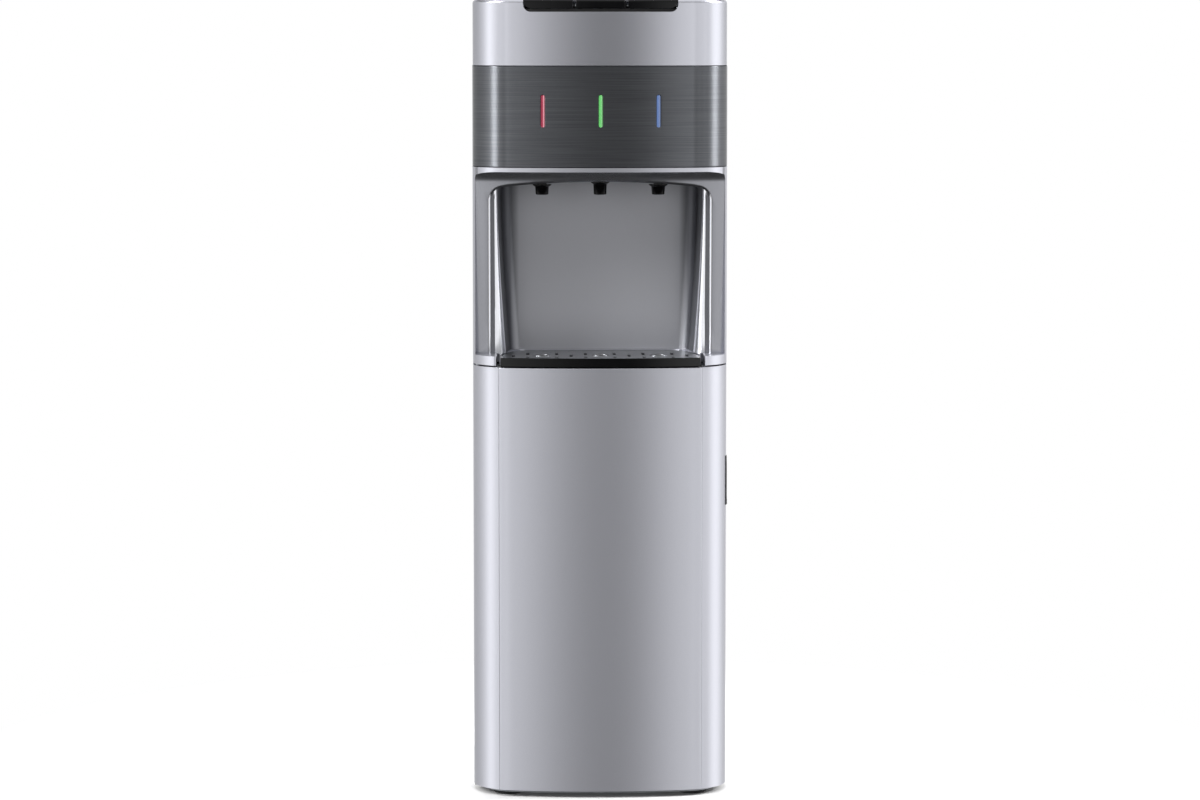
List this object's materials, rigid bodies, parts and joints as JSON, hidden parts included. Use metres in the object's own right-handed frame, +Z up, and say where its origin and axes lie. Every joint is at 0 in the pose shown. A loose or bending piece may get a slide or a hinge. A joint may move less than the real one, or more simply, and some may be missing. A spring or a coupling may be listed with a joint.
{
  "type": "water cooler",
  "caption": "Free-standing plumbed-in water cooler with top keys, arched dispensing bay, slide-out drip tray and a hinged cabinet door.",
  "frame": {"origin": "centre of the footprint on the floor", "axes": "+Z up, -Y towards the front with the dispensing bay, +X to the right seen from the front"},
  "size_m": [0.3314, 0.365, 1.0336],
  "materials": {
    "silver_paint": "satin metallic paint on moulded and pressed panels",
    "dark_panel": "dark film with a fine level brushing",
    "bay_paint": "satin silver paint",
    "black_gloss": "high gloss",
    "black_matt": "fine texture",
    "red_lens": "translucent",
    "green_lens": "translucent",
    "blue_lens": "translucent",
    "zinc_sheet": "galvanised sheet",
    "stainless": "brushed",
    "bright_steel": "zinc plated",
    "copper_tube": "drawn copper",
    "black_enamel": "black enamel",
    "circuit_board": "solder mask",
    "white_moulding": "natural moulding",
    "light_moulding": "grey-white moulding",
    "clear_tube": "translucent tube",
    "foam": "moulded foam",
    "dark_foam": "moulded foam",
    "soft_rubber": "matt",
    "blue_cap": "moulded",
    "red_moulding": "moulded",
    "green_moulding": "moulded",
    "magnet": "bonded magnet strip"
  },
  "bodies": {
    "housing": {"base_pan": "zinc_sheet", "feet": "soft_rubber", "side_panel_left": "silver_paint", "side_panel_right": "silver_paint", "rear_panel": "zinc_sheet", "partition": "zinc_sheet", "mid_deck": "zinc_sheet", "shelf_moulding": "silver_paint", "bay_moulding": "bay_paint", "control_panel": "dark_panel", "light_bar_hot": "red_lens", "light_bar_ambient": "green_lens", "light_bar_cold": "blue_lens", "indicator_board": "circuit_board", "top_cap": "silver_paint", "key_shaft": "bright_steel", "switch_carrier": "black_matt", "key_switches": "black_matt", "nozzles": "black_gloss", "hot_tank": "stainless", "hot_jacket": "dark_foam", "thermostats": "black_matt", "cold_tank": "stainless", "cold_jacket": "foam", "evaporator": "copper_tube", "compressor": "black_enamel", "grommets": "soft_rubber", "condenser": "black_enamel", "condenser_clips": "zinc_sheet", "filter_drier": "copper_tube", "refrigerant_pipes": "copper_tube", "solenoid_valves": "white_moulding", "control_box": "light_moulding", "filter_manifold": "white_moulding", "water_tubes": "clear_tube", "inlet_fitting": "white_moulding", "drain_fitting": "white_moulding", "cord_gland": "black_matt", "rocker_housings": "black_matt", "rear_screws": "bright_steel", "hinge_brackets": "bright_steel", "strike_plate": "bright_steel"},
    "door": {"door_panel": "silver_paint", "door_trim_left": "silver_paint", "door_trim_right": "silver_paint", "door_liner": "light_moulding", "door_pull": "black_matt", "door_magnet": "magnet"},
    "tray": {"drip_tray": "black_gloss"},
    "grille": {"drip_grille": "stainless"},
    "hot_key": {"key_hot": "black_gloss"},
    "ambient_key": {"key_ambient": "black_gloss"},
    "cold_key": {"key_cold": "black_gloss"},
    "lock_slide": {"child_lock": "red_moulding"},
    "left_cartridge": {"cartridge_left": "white_moulding"},
    "middle_cartridge": {"cartridge_middle": "white_moulding"},
    "right_cartridge": {"cartridge_right": "white_moulding"},
    "hot_rocker": {"rocker_hot": "red_moulding"},
    "cold_rocker": {"rocker_cold": "green_moulding"},
    "drain_plug": {"drain_cap": "blue_cap"}
  },
  "joints": [
    {"name": "door_hinge", "type": "hinge", "parent": "housing", "child": "door", "pos_m": [-0.157, -0.116, 0.3], "axis": [0, 0, -1], "range_deg": [0, 110]},
    {"name": "hot_key_press", "type": "hinge", "parent": "housing", "child": "hot_key", "pos_m": [0, -0.1275, 1.023], "axis": [1, 0, 0], "range_deg": [0, 4], "stiffness_Nm_per_rad": 3},
    {"name": "ambient_key_press", "type": "hinge", "parent": "housing", "child": "ambient_key", "pos_m": [0, -0.1275, 1.023], "axis": [1, 0, 0], "range_deg": [0, 4], "stiffness_Nm_per_rad": 3},
    {"name": "cold_key_press", "type": "hinge", "parent": "housing", "child": "cold_key", "pos_m": [0, -0.1275, 1.023], "axis": [1, 0, 0], "range_deg": [0, 4], "stiffness_Nm_per_rad": 3},
    {"name": "lock_slide_joint", "type": "slide", "parent": "hot_key", "child": "lock_slide", "axis": [1, 0, 0], "range_m": [0, 0.006]},
    {"name": "tray_slide", "type": "slide", "parent": "housing", "child": "tray", "axis": [0, -1, 0], "range_m": [0, 0.14]},
    {"name": "grille_lift", "type": "slide", "parent": "tray", "child": "grille", "axis": [0, 0, 1], "range_m": [0, 0.03]},
    {"name": "left_cartridge_twist", "type": "hinge", "parent": "housing", "child": "left_cartridge", "pos_m": [-0.084, -0.0545, 0.4], "axis": [0, 0, 1], "range_deg": [0, 90]},
    {"name": "middle_cartridge_twist", "type": "hinge", "parent": "housing", "child": "middle_cartridge", "pos_m": [0, -0.0545, 0.4], "axis": [0, 0, 1], "range_deg": [0, 90]},
    {"name": "right_cartridge_twist", "type": "hinge", "parent": "housing", "child": "right_cartridge", "pos_m": [0.084, -0.0545, 0.4], "axis": [0, 0, 1], "range_deg": [0, 90]},
    {"name": "hot_rocker_tilt", "type": "hinge", "parent": "housing", "child": "hot_rocker", "pos_m": [-0.128, 0.1505, 0.866], "axis": [-1, 0, 0], "range_deg": [0, 18]},
    {"name": "cold_rocker_tilt", "type": "hinge", "parent": "housing", "child": "cold_rocker", "pos_m": [-0.094, 0.1505, 0.866], "axis": [-1, 0, 0], "range_deg": [0, 18]},
    {"name": "drain_plug_turn", "type": "hinge", "parent": "housing", "child": "drain_plug", "pos_m": [-0.094, 0.175, 0.0455], "axis": [0, 1, 0], "range_deg": [0, 270]}
  ]
}
